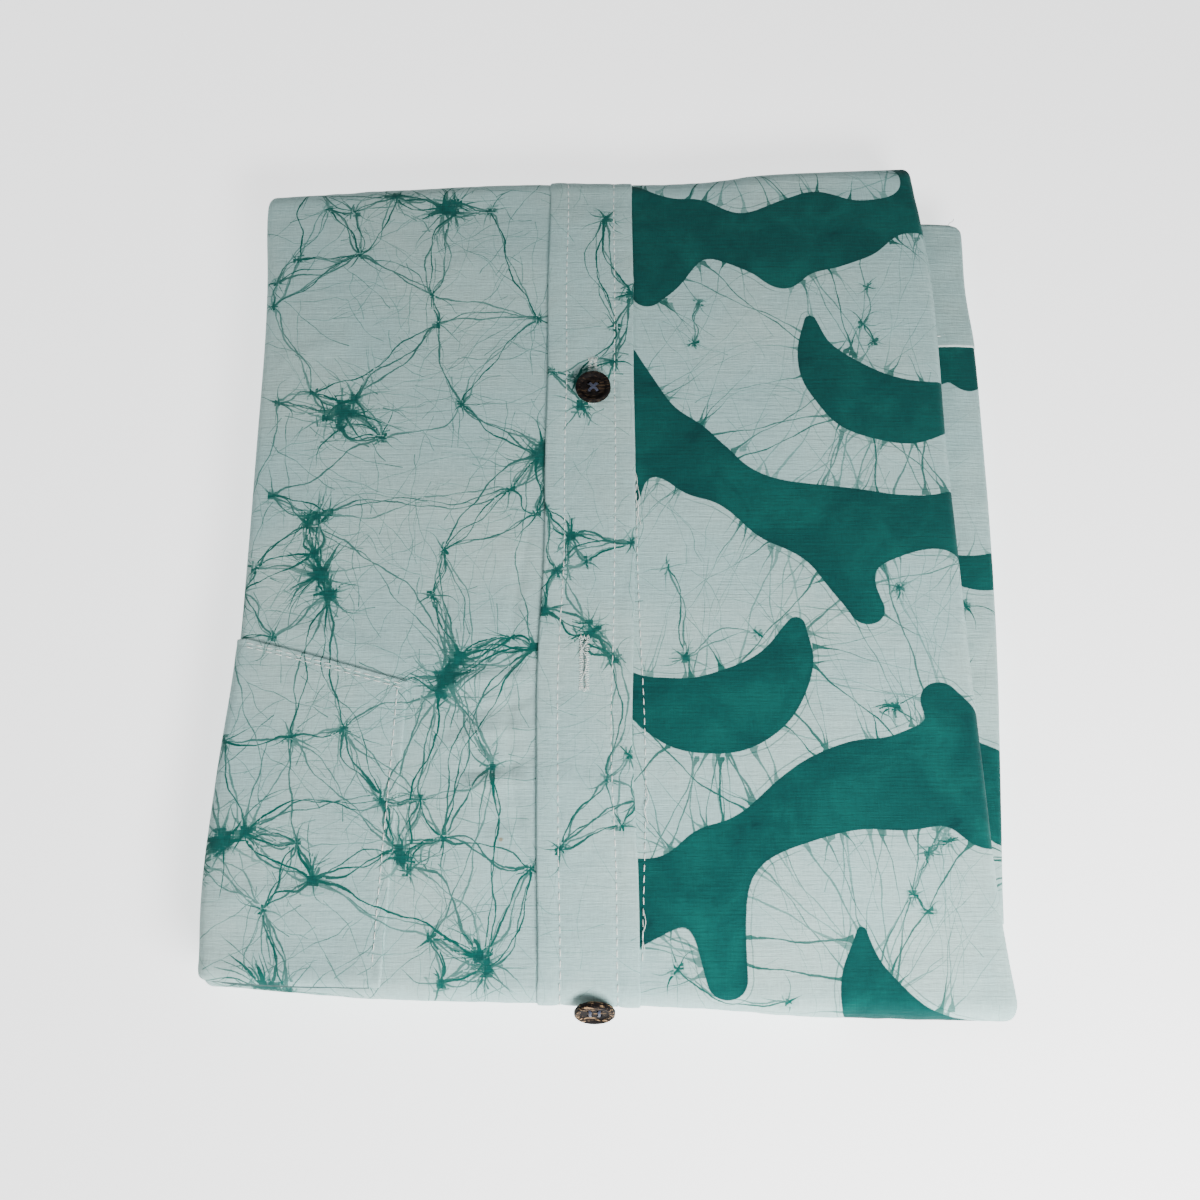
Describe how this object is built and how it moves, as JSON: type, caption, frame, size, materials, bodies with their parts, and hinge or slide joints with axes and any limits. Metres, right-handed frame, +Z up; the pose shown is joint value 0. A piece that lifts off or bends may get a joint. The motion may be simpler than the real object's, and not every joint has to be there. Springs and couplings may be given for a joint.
{
  "type": "folded batik shirt",
  "caption": "Folded cotton batik shirt lying face up, with centre placket, chest pocket, coconut shell buttons and a sleeve edge showing at one side.",
  "frame": {"origin": "on the resting surface, under the middle of the folded pile's outline", "axes": "+Z up out of the shirt's front, +Y from the collar end's fold towards the hem end's fold, +X towards the wearer's right front and its sleeve"},
  "size_m": [0.2648, 0.3137, 0.0234],
  "materials": {
    "batik_crackle": "matte plain-weave cotton, pale grey green with teal dye crackle",
    "batik_figure": "matte plain-weave cotton, pale grey green with large teal wax-resist figures",
    "band_cloth": "matte plain-weave cotton with fine crackle",
    "pocket_cloth": "matte plain-weave cotton with teal crackle",
    "sleeve_cloth": "matte plain-weave cotton with teal patches",
    "sleeve_band_cloth": "matte plain cotton, undyed pale grey green",
    "inner_cloth": "matte plain-weave cotton, layered edges",
    "coconut_shell": "satin polished coconut shell, dark brown with tan fibres"
  },
  "bodies": {
    "root": {"folded_layers": "inner_cloth", "front_left": "batik_crackle", "front_right": "batik_figure", "placket": "band_cloth", "pocket": "pocket_cloth", "sleeve_right": "sleeve_cloth", "sleeve_band": "sleeve_band_cloth", "button_upper": "coconut_shell", "button_fold": "coconut_shell"}
  },
  "joints": []
}
